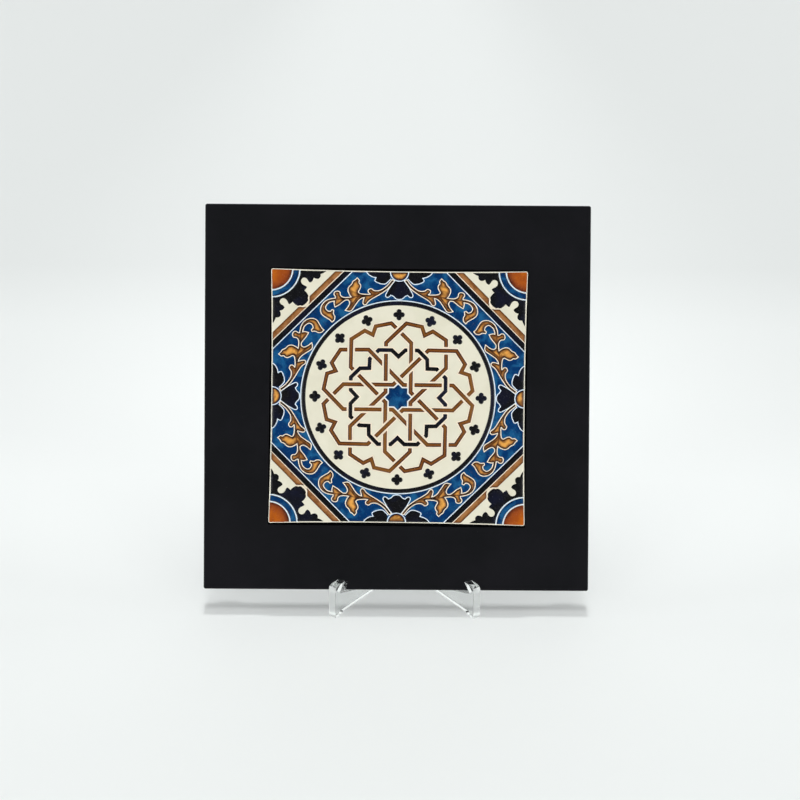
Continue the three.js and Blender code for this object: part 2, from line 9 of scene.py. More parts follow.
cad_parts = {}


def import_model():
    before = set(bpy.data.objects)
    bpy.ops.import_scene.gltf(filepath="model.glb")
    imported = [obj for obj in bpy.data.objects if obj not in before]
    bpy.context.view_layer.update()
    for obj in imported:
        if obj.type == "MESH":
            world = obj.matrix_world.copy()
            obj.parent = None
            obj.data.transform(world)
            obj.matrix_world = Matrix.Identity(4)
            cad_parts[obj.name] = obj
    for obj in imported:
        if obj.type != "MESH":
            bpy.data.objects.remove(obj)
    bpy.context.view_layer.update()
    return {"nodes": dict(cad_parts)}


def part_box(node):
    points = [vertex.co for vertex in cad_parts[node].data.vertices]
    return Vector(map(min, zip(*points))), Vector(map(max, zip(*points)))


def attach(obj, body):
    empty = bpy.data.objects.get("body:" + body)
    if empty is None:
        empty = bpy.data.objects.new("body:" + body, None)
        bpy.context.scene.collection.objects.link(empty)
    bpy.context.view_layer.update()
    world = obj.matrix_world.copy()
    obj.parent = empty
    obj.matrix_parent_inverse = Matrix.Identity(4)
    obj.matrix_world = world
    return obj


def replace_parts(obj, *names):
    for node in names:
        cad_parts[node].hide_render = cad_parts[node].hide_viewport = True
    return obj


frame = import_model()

MM = 0.001

# Board and tile, in millimetres and radians, at their nominal sizes
LEAN = math.radians(20)
BOARD_SIDE = 228.6
BOARD_THICK = 12.0
BOARD_CORNER = 1.2
BOARD_ARRIS = 0.7
TILE_SIDE = 151.5
TILE_BOW = 0.95
TILE_THICK = 6.5
TILE_PROUD = 1.6
TILE_FIT = 0.6
TILE_OFFSET = 0.6
TILE_TURN = math.radians(0.37)
POCKET_DEPTH = 6.7
BASIN = 0.4
RIM = 0.5
TILE_HALF = TILE_SIDE / 2

# How the fired tile departs from its nominal size: moved up, stretched, and rounded at its corners
TILE_RAISED = 0.25
TILE_WIDE = 1.0035
TILE_TALL = 0.9958
TILE_CORNER = 1.3

# The tile's edge, from its back over the rim to the glaze ground:
# inset, height over the ground, and depth in the glaze
TILE_ARRIS = 0.4
TILE_BACK = BASIN - TILE_THICK
TILE_EDGE = (
    (TILE_ARRIS, TILE_BACK, 0),
    (0.0, TILE_BACK + TILE_ARRIS, 0),
    (0.0, -0.5, 0),
    (0.04, 0.05, 0),
    (0.14, 0.3, 0.2),
    (0.3, BASIN, 0.4),
    (0.44, 0.3, 0.4),
    (0.62, 0.06, 0.6),
    (1.2, 0.0, 1),
)

# The board's eased edges: steps round them, how whole the paint is there, and the flat face's margin
BOARD_STEPS = 4
ARRIS_PAINT = 0.35
FACE_MARGIN = 0.4

# Easel
CONTACT_GAP = 0.3
LAP_FIT = 0.3
PLATE_THICK = 5.0
PLATE_EDGE = 0.18
SPREAD = math.radians(34)
FOOT_HALF = 42.7
EASEL_SHIFT = 5.2
SEAT_HEIGHT = 10.2
SEAT_DEPTH = 7.6
CLAW_RISE = 6.1
CLAW_HOLLOW = 2.9
CLAW_REACH = 12.0
ARM_LENGTH = 85.0
ARM_TOP = 8.0
ARM_WAIST = 12.0
WEB_RISE = 50.0
TAIL = 40.0
TAIL_HEIGHT = 9.0
FOOT_LENGTH = 4.5
FOOT_RELIEF = 1.5

# Lengths cut from both sides of the plates' corners to round them
CLAW_CUT = 3.8
CLAW_TIP_CUT = 0.7
HOLLOW_CUT = 1.6
SEAT_CUT = 0.8
FOOT_CUT = 0.8
LAP_CUT = 0.5
ARM_FRONT_CUT = 3
ARM_BACK_CUT = 4
WEB_CUT = 14
TAIL_CUT = 5

# Where a plate's faces look, which tells its flat sides, its front end and the claw's clear top apart
FLAT = 0.999
FRONTAL = -0.4
CLAW_CLEAR = 0.7

# Hard edges, by the least angle in degrees between two faces
RELIEF_SHARP = 75
BOARD_SHARP = 32
PLATE_SHARP = 20

# The easel's front line, and the frame that leans with the board: x right, y into the board,
# and z up along it from the middle of its lower front edge
easel_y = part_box("easel_left_plate")[0].y + PLATE_THICK / 2 * math.sin(SPREAD) * MM
seat_front_z = SEAT_HEIGHT + BOARD_THICK * math.sin(LEAN)
board_foot = Vector((0, easel_y + SEAT_DEPTH * MM, seat_front_z * MM))
LEANING = Matrix.Translation(board_foot) @ Matrix.Rotation(-LEAN, 4, "X")
INLAID = (
    LEANING
    @ Matrix.Translation((TILE_OFFSET * MM, 0, (BOARD_SIDE / 2 + TILE_RAISED) * MM))
    @ Matrix.Rotation(TILE_TURN, 4, "Y")
)

scene = bpy.context.scene
scene.view_settings.view_transform = "Standard"


# Materials

def srgb(red, green, blue):
    """A colour read as display values from 0 to 255, as linear numbers."""
    def linear(value):
        value = value / 255
        if value <= 0.04045:
            return value / 12.92
        return ((value + 0.055) / 1.055) ** 2.4
    return (linear(red), linear(green), linear(blue), 1.0)


class Nodes:
    """Short calls for building the nodes of a new material or world."""

    def __init__(self, name, world=False):
        self.made = (bpy.data.worlds if world else bpy.data.materials).new(name)
        self.made.use_nodes = True
        self.tree = self.made.node_tree
        self.shader = self.tree.nodes["Background" if world else "Principled BSDF"]
        self.output = self.tree.nodes["World Output" if world else "Material Output"]

    def add(self, kind, **settings):
        node = self.tree.nodes.new(kind)
        for key, value in settings.items():
            setattr(node, key, value)
        return node

    def feed(self, value, socket):
        """Links an output to a socket, or sets a plain value on it."""
        if isinstance(value, bpy.types.NodeSocket):
            self.tree.links.new(value, socket)
        else:
            socket.default_value = value

    def give(self, node, **sockets):
        """Feeds a node's sockets, whose names are written with _ for each space."""
        for name, value in sockets.items():
            self.feed(value, node.inputs[name.replace("_", " ")])

    def shade(self, **sockets):
        self.give(self.shader, **sockets)

    def place(self, stretch=(1, 1, 1)):
        """Where a point lies on its object, in metres."""
        node = self.add("ShaderNodeMapping")
        self.give(node, Scale=stretch, Vector=self.add("ShaderNodeTexCoord").outputs["Object"])
        return node.outputs["Vector"]

    def noise(self, scale, detail=3.0, stretch=(1, 1, 1), distortion=0.0):
        """Noise of about so many cells to the metre."""
        node = self.add("ShaderNodeTexNoise")
        self.give(node, Vector=self.place(stretch), Scale=scale, Detail=detail, Distortion=distortion)
        return node.outputs["Fac"]

    def ramp(self, value, stops):
        """A colour by a value, from stops of place and colour."""
        node = self.add("ShaderNodeValToRGB")
        while len(node.color_ramp.elements) < len(stops):
            node.color_ramp.elements.new(0.5)
        for element, (place, colour) in zip(node.color_ramp.elements, stops):
            element.position = place
            element.color = colour
        self.give(node, Fac=value)
        return node.outputs["Color"]

    def span(self, value, low, high, out_low=0.0, out_high=1.0, kind="SMOOTHSTEP"):
        """A value brought from one range into another."""
        node = self.add("ShaderNodeMapRange", interpolation_type=kind)
        self.give(node, From_Min=low, From_Max=high, To_Min=out_low, To_Max=out_high, Value=value)
        return node.outputs["Result"]

    def mix(self, share, first, second):
        """The first colour with a share of the second."""
        node = self.add("ShaderNodeMix", data_type="RGBA")
        self.feed(share, node.inputs[0])
        self.feed(first, node.inputs[6])
        self.feed(second, node.inputs[7])
        return node.outputs[2]

    def math(self, operation, first, second):
        node = self.add("ShaderNodeMath", operation=operation)
        self.feed(first, node.inputs[0])
        self.feed(second, node.inputs[1])
        return node.outputs[0]

    def attribute(self, name):
        return self.add("ShaderNodeAttribute", attribute_name=name).outputs["Fac"]

    def bump(self, height, strength, distance):
        node = self.add("ShaderNodeBump")
        self.give(node, Strength=strength, Distance=distance, Height=height)
        self.shade(Normal=node.outputs["Normal"])

    def blend(self, share, first, second):
        """Shows two shaders mixed, instead of the plain one."""
        node = self.add("ShaderNodeMixShader")
        self.feed(share, node.inputs[0])
        self.feed(first.outputs[0], node.inputs[1])
        self.feed(second.outputs[0], node.inputs[2])
        self.feed(node.outputs[0], self.output.inputs["Surface"])


# Each glaze: stops of depth and colour, the colour, scale and share of its clouds, and its roughness
GLAZES = {
    "blue glaze": (
        [(0.05, 5, 26, 56), (0.42, 6, 43, 86), (0.8, 5, 50, 98), (1.0, 5, 53, 105)],
        (34, 106, 156), 150, 0.66, 0.2,
    ),
    "dark glaze": (
        [(0.05, 8, 7, 8), (0.6, 15, 16, 17), (1.0, 20, 20, 23)],
        (23, 27, 52), 60, 0.5, 0.2,
    ),
    "amber glaze": (
        [(0.04, 52, 26, 14), (0.34, 106, 62, 30), (0.62, 148, 96, 50), (0.95, 172, 120, 74)],
        (112, 64, 30), 260, 0.7, 0.2,
    ),
    "corner glaze": (
        [(0.02, 66, 28, 18), (0.24, 98, 46, 28), (0.62, 160, 80, 32), (1.0, 190, 98, 22)],
        (146, 64, 26), 120, 0.5, 0.2,
    ),
    "leaf glaze": (
        [(0.42, 24, 13, 9), (0.56, 70, 40, 20), (0.7, 132, 86, 45),
         (0.8, 192, 132, 67), (0.93, 234, 168, 80)],
        (104, 60, 27), 200, 0.7, 0.2,
    ),
    # Its dark edges are partly pooled glaze and partly painted shade, by the depths that domed() gives
    "strap glaze": (
        [(0.05, 36, 16, 8), (0.45, 70, 35, 15), (0.95, 124, 73, 33)],
        (142, 96, 44), 34, 0.5, 0.2,
    ),
    "ridge glaze": (
        [(0.0, 172, 202, 232), (0.5, 216, 236, 254), (1.0, 243, 251, 255)],
        (234, 240, 246), 70, 0.4, 0.2,
    ),
    "warm ridge glaze": (
        [(0.0, 238, 210, 178), (0.5, 252, 234, 208), (1.0, 255, 246, 228)],
        (249, 229, 203), 70, 0.4, 0.2,
    ),
    "ivory glaze": (
        [(0.0, 244, 239, 224), (0.6, 236, 232, 212), (1.0, 234, 230, 210)],
        (226, 222, 200), 55, 0.6, 0.17,
    ),
}

# What they have in common: the ripple in their depth, and how far their specks cover
RIPPLE = 0.34
SPECKS = 0.25


def glaze(name):
    """A pooled glaze: its colour runs by its stops from the ridges inward, under clouds and specks. On the
    straps, part of that darkening at the edges is painted shade.
    """
    stops, cloud, scale, share, roughness = GLAZES[name]
    n = Nodes(name)
    ripple = n.math("MULTIPLY", n.noise(520), RIPPLE)
    depth = n.math("ADD", n.attribute("depth"), ripple)
    colours = [(place, srgb(*colour)) for place, *colour in stops]
    pooled = n.ramp(n.math("SUBTRACT", depth, RIPPLE / 2), colours)
    clouds = n.noise(scale, detail=4.0, distortion=0.5)
    clouded = n.mix(n.span(clouds, 0.44, 0.66, out_high=share), pooled, srgb(*cloud))
    specks = n.noise(3400, detail=2.0)
    flecked = n.mix(n.span(specks, 0.66, 0.74, out_high=SPECKS), clouded, srgb(*cloud))
    n.shade(Base_Color=flecked, IOR=1.5, Specular_IOR_Level=0.3)
    patches = n.noise(900, detail=2.0)
    n.shade(Roughness=n.span(patches, 0.3, 0.7, roughness * 0.7, roughness * 1.4))
    grain = n.math("MULTIPLY", n.noise(2400, detail=2.0), 0.2)
    n.bump(n.math("ADD", n.noise(380), grain), strength=0.14, distance=0.0004)
    return n.made


# Ornament outlines, in millimetres from the tile's middle, x right and y up

EIGHTH_TURN = 45
LIGHT_STRAPS = 4
STRAP_OCTAGON = 7.4
STRAP_HALF = 1.22
STRAP_GAP = 0.8
STRAP_LOW = 0.02
STRAP_HIGH = 0.24
STRAP_RIDGE = 0.28
STRAP_RIDGE_HIGH = 0.3
STRAP_RIDGE_SHIFT = 0.7
PETAL = [(33.2, 35.4), (44.2, 16.7), (44.2, 4.5), (40.0, 0)]
DARK_OCTAGON = 28.0
NOTCH_DEPTH = 3.8
NOTCH_HALF = 4.0
STAR_HALF = 5.4
FLOWER_COUNT = 16
FLOWER_RING = 49.1
FLOWER_LOBE = 1.55
FLOWER_REACH = 1.85
FLOWER_ROUND = 122
RING_MIDDLE = 55.85
RING_HALF = 1.22
RING_RIDGE = 57.45
CORNER_DISC = 12.4
CORNER_RING = (13.3, 16.6)
CORNER_RIDGE_GAP = 0.45
CORNER_LEAF_GAP = 0.9
CORNER_LEAF_EDGE = 1.2
CORNER_EDGE = 0.6
AMBER_BAND = (39.2, 43.7)
DARK_BAND = (44.4, 48.9)
BAND_SLACK = 0.1
RIDGE_HALF = 0.31
RIDGE_HIGH = 0.42
FINE_RIDGE = 0.25
FIELD_SUM = 49.35
FIELD_STEP = 1.5
BAND_LINE = 44.0
SIDE_DISC = 5.0
SIDE_DISC_DROP = 1.4
SIDE_RIDGE = 5.4

# How a glaze fills its cell: spacing of points, height at the edge and inside, and its shoulder's width
STAR_FILL = (0.8, 0.05, 0.25, 0.9)
FLOWER_FILL = (0.6, 0.04, 0.26, 0.5)
FIELD_FILL = (1.0, 0.03, 0.12, 1.0)
AMBER_BAND_FILL = (0.7, 0.04, 0.2, 0.9)
DARK_BAND_FILL = (0.7, 0.04, 0.2, 0.8)
CORNER_DISC_FILL = (0.8, 0.04, 0.4, 3.2)
CORNER_RING_FILL = (0.7, 0.03, 0.22, 0.9)
CORNER_LEAF_FILL = (0.7, 0.04, 0.24, 0.7)
SIDE_DISC_FILL = (0.7, 0.05, 0.4, 0.8)
MIDDLE_PETAL_FILL = (0.7, 0.05, 0.3, 0.8)
SIDE_PETAL_FILL = (0.7, 0.05, 0.28, 0.8)
BRANCH_FILL = (0.4, 0.05, 0.45, 1.0)

# A branch growing left from the flower in the middle of the upper side. A third value of 1 marks a corner
BRANCH = [
    (-4.4, 69.9, 1), (-7.2, 66.3), (-11.2, 63.5), (-14.6, 63.2), (-16.6, 64.4), (-18.3, 63.6),
    (-18.2, 62.1), (-17.2, 61.1), (-20.6, 61.0), (-23.2, 61.4), (-24.1, 62.4), (-23.5, 63.7),
    (-22.8, 65.4), (-23.1, 66.8), (-23.9, 67.8), (-23.7, 69.2), (-24.9, 70.7, 1), (-26.2, 69.4),
    (-27.4, 68.6), (-28.2, 66.9), (-29.8, 65.2), (-30.3, 63.2), (-29.5, 60.9), (-28.4, 59.3, 1),
    (-31.6, 58.9), (-33.8, 59.4), (-34.8, 60.6), (-35.0, 62.0), (-36.4, 62.7), (-38.1, 62.1),
    (-38.5, 60.7), (-37.7, 59.4), (-37.6, 58.5, 1), (-40.9, 57.9), (-43.8, 56.5), (-45.8, 53.9),
    (-46.3, 50.9), (-45.4, 48.6), (-43.2, 47.0), (-40.8, 45.6), (-39.5, 44.2, 1), (-38.1, 45.6),
    (-37.9, 47.6), (-38.7, 49.2), (-38.5, 51.2, 1), (-39.6, 51.6), (-40.5, 50.6), (-42.3, 51.0),
    (-43.4, 52.7), (-42.7, 54.5), (-40.9, 56.1), (-38.2, 56.7, 1), (-38.4, 55.4), (-37.8, 53.2, 1),
    (-35.3, 54.6), (-33.4, 56.2), (-31.6, 57.4), (-30.0, 57.4, 1), (-29.2, 56.2), (-29.4, 54.8),
    (-30.3, 53.2), (-31.8, 51.3, 1), (-29.6, 50.8), (-28.2, 51.2), (-27.2, 52.4), (-25.7, 54.7),
    (-23.9, 57.2), (-22.1, 58.6), (-20.7, 59.0, 1), (-21.2, 57.3), (-21.4, 55.6), (-20.6, 54.6, 1),
    (-19.4, 55.0), (-18.0, 56.9), (-15.3, 58.8), (-11.2, 61.2), (-6.6, 64.6), (-2.9, 69.2, 1),
]

# The branch's darker lines: its stem, and the ribs of two leaves
VEINS = [
    [(-14.8, 61.0), (-20.6, 60.0), (-25.5, 59.6), (-30.0, 58.3), (-36.0, 57.8)],
    [(-24.2, 59.6), (-27.6, 55.4), (-29.0, 53.4)],
    [(-24.0, 60.4), (-25.0, 62.0)],
]
VEIN_HALF = 0.4
VEIN_DARK = 0.3

# That flower's middle petal, left half, and its left petal
MIDDLE_PETAL = [
    (-2.6, 69.4, 1), (-5.4, 65.7), (-7.3, 62.4), (-8.1, 60.5), (-7.5, 59.4), (-6.2, 59.5), (-4.9, 60.6, 1),
    (-3.4, 59.9), (-2.2, 58.7), (-0.9, 58.2),
]
SIDE_PETAL = [
    (-19.4, 74.3, 1), (-18.2, 72.7), (-15.9, 71.4), (-13.8, 70.9, 1), (-14.5, 69.5), (-14.1, 68.6),
    (-12.4, 67.8), (-10.2, 67.2), (-7.9, 67.5), (-5.0, 70.3, 1), (-5.3, 74.3, 1),
]

# Half of a corner's dark leaves, as distances from the tile's two sides
CORNER_LEAF = [
    (17.0, 1.15, 1), (32.8, 1.25, 1), (30.8, 2.5), (29.2, 3.1, 1), (29.1, 4.8), (27.9, 5.9), (26.2, 5.8),
    (25.2, 5.2, 1), (24.6, 7.0), (23.1, 8.2), (21.9, 7.2, 1), (21.1, 5.9), (19.7, 5.3), (18.3, 5.9),
    (17.7, 7.3), (18.1, 8.7), (19.2, 9.7, 1), (21.2, 10.8), (20.5, 12.1), (19.7, 12.9, 1), (21.1, 14.2),
    (22.1, 16.0), (21.8, 17.4, 1), (22.0, 18.8), (20.7, 20.7, 1),
]

# The raised line round half of those leaves' tip, and the end of the amber band beside it
TIP_RIDGE = [(22.5, 15.8), (22.3, 17.4), (22.5, 19.0), (21.2, 21.2, 1)]
BAND_END = [(22.9, 16.3), (22.8, 17.6), (22.9, 19.2), (22.5, 21.2)]


def polar(radius, degrees):
    turn = math.radians(degrees)
    return (radius * math.cos(turn), radius * math.sin(turn))


def sides_of(outline):
    """Each side of a closed outline, as its two ends."""
    return list(zip(outline, outline[1:] + outline[:1]))


def nearest(x, y, lines):
    """The distance from a point to the nearest of many straight lines."""
    best = math.inf
    for (ax, ay), (bx, by) in lines:
        dx, dy = bx - ax, by - ay
        t = ((x - ax) * dx + (y - ay) * dy) / (dx * dx + dy * dy + 1e-12)
        t = min(1.0, max(0.0, t))
        best = min(best, (x - ax - t * dx) ** 2 + (y - ay - t * dy) ** 2)
    return math.sqrt(best)


def arc(centre, radius, start, end, steps):
    points = []
    for i in range(steps + 1):
        x, y = polar(radius, start + (end - start) * i / steps)
        points.append((centre[0] + x, centre[1] + y))
    return points


def circle(radius, steps=180):
    return arc((0, 0), radius, 0, 360, steps)[:-1]


def smooth(points, steps=3, closed=True):
    """A curve through the points, with corners at those marked."""
    count = len(points)

    def tangent(i):
        if len(points[i]) > 2:
            return (0.0, 0.0)
        if closed:
            before, after = points[i - 1], points[(i + 1) % count]
        else:
            before, after = points[max(i - 1, 0)], points[min(i + 1, count - 1)]
        return ((after[0] - before[0]) / 2, (after[1] - before[1]) / 2)

    curve = []
    for i in range(count if closed else count - 1):
        j = (i + 1) % count
        parts = (points[i], tangent(i), points[j], tangent(j))
        for k in range(steps):
            t = k / steps
            weights = (
                2 * t ** 3 - 3 * t ** 2 + 1,
                t ** 3 - 2 * t ** 2 + t,
                3 * t ** 2 - 2 * t ** 3,
                t ** 3 - t ** 2,
            )
            curve.append(tuple(sum(w * p[axis] for w, p in zip(weights, parts)) for axis in (0, 1)))
    if not closed:
        curve.append(points[-1][:2])
    return curve


def rounded(points, steps=8):
    """An outline with rounded corners: each point is x, z and the length cut from both of its sides."""
    count = len(points)
    outline = []
    for i, (x, z, cut) in enumerate(points):
        if not cut:
            outline.append((x, z))
            continue
        ends = []
        for other in (points[i - 1], points[(i + 1) % count]):
            run = math.dist((x, z), other[:2])
            ends.append((x + (other[0] - x) * cut / run, z + (other[1] - z) * cut / run))
        for k in range(steps + 1):
            t = k / steps
            outline.append(tuple(
                (1 - t) ** 2 * a + 2 * t * (1 - t) * b + t ** 2 * c
                for a, b, c in zip(ends[0], (x, z), ends[1])
            ))
    return outline


def mirrored(points):
    return [(-p[0],) + tuple(p[1:]) for p in reversed(points)]


def swapped(points):
    return [(p[1], p[0]) + tuple(p[2:]) for p in reversed(points)]


def from_corner(points):
    """Distances from the upper right corner's two sides, as places on the tile."""
    return [(TILE_HALF - p[0], TILE_HALF - p[1]) + tuple(p[2:]) for p in points]


def rim_y(x):
    """The glazed field's upper edge: the tile's side bows in, and a rim is left."""
    return TILE_HALF - RIM - TILE_BOW * (1 - (x / TILE_HALF) ** 2)


def light_strap(turn):
    """One light strap: two petals on opposite sides, joined by arms that bend by the middle."""
    bend = STRAP_OCTAGON / math.cos(math.pi / 8)
    half = [(bend, 90)] + PETAL
    back = [(radius, -angle) for radius, angle in reversed(PETAL[:-1])]
    return [polar(radius, turn + side - angle) for side in (0, 180) for radius, angle in half + back]


def dark_strap():
    """The dark strap: an octagon with a notch in the middle of each side."""
    corner = DARK_OCTAGON / math.cos(math.pi / 8)
    path = []
    for turn in range(0, 360, EIGHTH_TURN):
        cx, cy = polar(DARK_OCTAGON, turn)
        tx, ty = polar(NOTCH_HALF, turn + 90)
        path.append(polar(corner, turn - EIGHTH_TURN / 2))
        path.append((cx - tx, cy - ty))
        path.append(polar(DARK_OCTAGON - NOTCH_DEPTH, turn))
        path.append((cx + tx, cy + ty))
    return path


def star(half):
    """Two squares, one turned by an eighth, as one outline."""
    points = []
    for turn in range(0, 360, EIGHTH_TURN):
        points.append(polar(half * math.sqrt(2), turn))
        points.append(polar(half / math.cos(math.pi / 8), turn + EIGHTH_TURN / 2))
    return points


def quatrefoil(turn):
    cx, cy = polar(FLOWER_RING, turn)
    points = []
    for lobe in range(0, 360, 90):
        lx, ly = polar(FLOWER_REACH, turn + lobe)
        start, end = turn + lobe - FLOWER_ROUND, turn + lobe + FLOWER_ROUND
        points.extend(arc((cx + lx, cy + ly), FLOWER_LOBE, start, end, 8))
    return points


# Interlacing

# The shortest stretch of strap between a cut and a corner, and the least cosine at a mitred corner
LEAST_STRETCH = 0.4
LEAST_MITRE = 0.45


def crossing(a, b, c, d):
    """Where two stretches of strap meet, as the share along both."""
    rx, ry = b[0] - a[0], b[1] - a[1]
    sx, sy = d[0] - c[0], d[1] - c[1]
    turn = rx * sy - ry * sx
    if abs(turn) < 1e-9:
        return None
    t = ((c[0] - a[0]) * sy - (c[1] - a[1]) * sx) / turn
    u = ((c[0] - a[0]) * ry - (c[1] - a[1]) * rx) / turn
    if 0 < t < 1 and 0 < u < 1:
        return t, u
    return None


def weave(loops):
    """Each loop's crossings in order along it, as [place, number, crossing direction, passes over]."""
    met = [[] for _ in loops]
    number = 0
    for i in range(len(loops)):
        for j in range(i + 1, len(loops)):
            for m, (a, b) in enumerate(sides_of(loops[i])):
                for n, (c, d) in enumerate(sides_of(loops[j])):
                    hit = crossing(a, b, c, d)
                    if hit:
                        met[i].append([m + hit[0], number, (d[0] - c[0], d[1] - c[1]), None])
                        met[j].append([n + hit[1], number, (b[0] - a[0], b[1] - a[1]), None])
                        number += 1
    for row in met:
        row.sort()
    waiting = [(0, 0, True)]
    while waiting:
        loop, start, over = waiting.pop()
        row = met[loop]
        if row[start][3] is not None:
            continue
        for k in range(len(row)):
            item = row[(start + k) % len(row)]
            item[3] = over == (k % 2 == 0)
            for other, items in enumerate(met):
                for place, match in enumerate(items):
                    if other != loop and match[1] == item[1]:
                        waiting.append((other, place, not item[3]))
    return met


def strap_runs(loop, crossings):
    """The loop as open runs that stop short of the straps they pass under, with the slant of both ends."""
    stretches = sides_of(loop)
    lengths = [math.dist(a, b) for a, b in stretches]
    starts = [sum(lengths[:k]) for k in range(len(loop))]
    total = sum(lengths)

    def at(distance):
        distance %= total
        k = max(k for k, start in enumerate(starts) if start <= distance)
        share = (distance - starts[k]) / lengths[k]
        a, b = stretches[k]
        return (a[0] + (b[0] - a[0]) * share, a[1] + (b[1] - a[1]) * share)

    cuts = []
    for place, _, across, over in crossings:
        if over:
            continue
        k = int(place)
        a, b = stretches[k]
        tx, ty = (b[0] - a[0]) / lengths[k], (b[1] - a[1]) / lengths[k]
        side = across[0] * ty - across[1] * tx
        slant = (across[0] * tx + across[1] * ty) / side
        reach = (STRAP_HALF + STRAP_GAP) * math.hypot(*across) / abs(side)
        cuts.append((starts[k] + (place - k) * lengths[k], reach, slant))
    corners = [(s + lap, p) for lap in (0, total) for s, p in zip(starts, loop)]
    runs = []
    for k, (middle, reach, slant) in enumerate(cuts):
        after, after_reach, after_slant = cuts[(k + 1) % len(cuts)]
        begin = middle + reach
        end = (after if after > middle else after + total) - after_reach
        bends = [p for s, p in corners if begin + LEAST_STRETCH < s < end - LEAST_STRETCH]
        runs.append(([at(begin)] + bends + [at(end)], slant, after_slant))
    return runs


def rail(path, closed, offset, slants=(0.0, 0.0)):
    """The path moved sideways by an offset, with mitred corners and slanted ends."""
    count = len(path)
    moved = []
    for i, here in enumerate(path):
        before = path[i - 1] if closed or i else None
        after = path[(i + 1) % count] if closed or i < count - 1 else None
        sides = []
        for a, b in ((before, here), (here, after)):
            if a is not None and b is not None:
                length = math.dist(a, b) or 1.0
                sides.append(((b[1] - a[1]) / length, (a[0] - b[0]) / length))
        nx = sum(side[0] for side in sides)
        ny = sum(side[1] for side in sides)
        length = math.hypot(nx, ny) or 1.0
        nx, ny = nx / length, ny / length
        reach = offset / max(LEAST_MITRE, nx * sides[0][0] + ny * sides[0][1])
        along = 0.0
        if not closed and i in (0, count - 1):
            along = offset * slants[0 if i == 0 else 1]
        moved.append((here[0] + nx * reach - ny * along, here[1] + ny * reach + nx * along))
    return moved


# Meshes

def add_object(name, data):
    obj = bpy.data.objects.new(name, data)
    bpy.context.collection.objects.link(obj)
    return obj


def soften(mesh, sharp):
    """Joins equal points, and shades smoothly but for hard edges where faces meet at a clear angle."""
    bm = bmesh.new()
    bm.from_mesh(mesh)
    bmesh.ops.remove_doubles(bm, verts=bm.verts, dist=1e-6)
    for face in bm.faces:
        face.smooth = True
    for edge in bm.edges:
        edge.smooth = edge.calc_face_angle(0.0) < math.radians(sharp)
    bm.to_mesh(mesh)
    bm.free()


def add_mesh(name, points, faces, depths, sharp, material):
    """A new object from points and faces. Its material reads each point's depth."""
    mesh = bpy.data.meshes.new(name)
    mesh.from_pydata(points, [], faces)
    mesh.attributes.new("depth", "FLOAT", "POINT").data.foreach_set("value", depths)
    soften(mesh, sharp)
    mesh.materials.append(material)
    return add_object(name, mesh)


def wall(rings, count):
    """Faces between closed rings of points that are numbered ring after ring, and one over the first."""
    faces = []
    for ring in range(rings - 1):
        here, above = ring * count, (ring + 1) * count
        for i in range(count):
            j = (i + 1) % count
            faces.append((here + i, here + j, above + j, above + i))
    faces.append(tuple(reversed(range(count))))
    return faces


# Tile relief

TURNS = ((1, 0), (0, 1), (-1, 0), (0, -1))
ONCE = [(1, TURNS[0])]
QUARTERS = [(1, turn) for turn in TURNS]
EIGHTHS = QUARTERS + [(-1, turn) for turn in TURNS]

# A cell's inner points: the step between rows and the least distance to an edge, in spacings
ROW_STEP = 0.87
EDGE_CLEAR = 0.4


def copies(points, places):
    """Turned and mirrored copies of points, whose values after x and y stay."""
    return [
        [(flip * x * c - y * s, flip * x * s + y * c, *rest) for x, y, *rest in points]
        for flip, (c, s) in places
    ]


def both_sides(side, crest=()):
    """A cross-section from one side, its crest, and the other side."""
    return [*side, *crest, *((-offset, height, depth) for offset, height, depth in reversed(side))]


def domed(half):
    """A strap's cross-section: offset, height and depth in the glaze. Its darker edges are partly pooled
    glaze and partly painted shade from the ridges beside it.
    """
    return both_sides([
        (half, STRAP_LOW, 0.05),
        (half * 0.74, STRAP_HIGH * 0.72, 0.25),
        (half * 0.25, STRAP_HIGH, 0.95),
    ])


def ridged(half=RIDGE_HALF, high=RIDGE_HIGH):
    """A raised line's cross-section."""
    return both_sides([(half, 0.0, 0.1), (half * 0.7, high * 0.74, 0.55)], [(0.0, high, 1.0)])


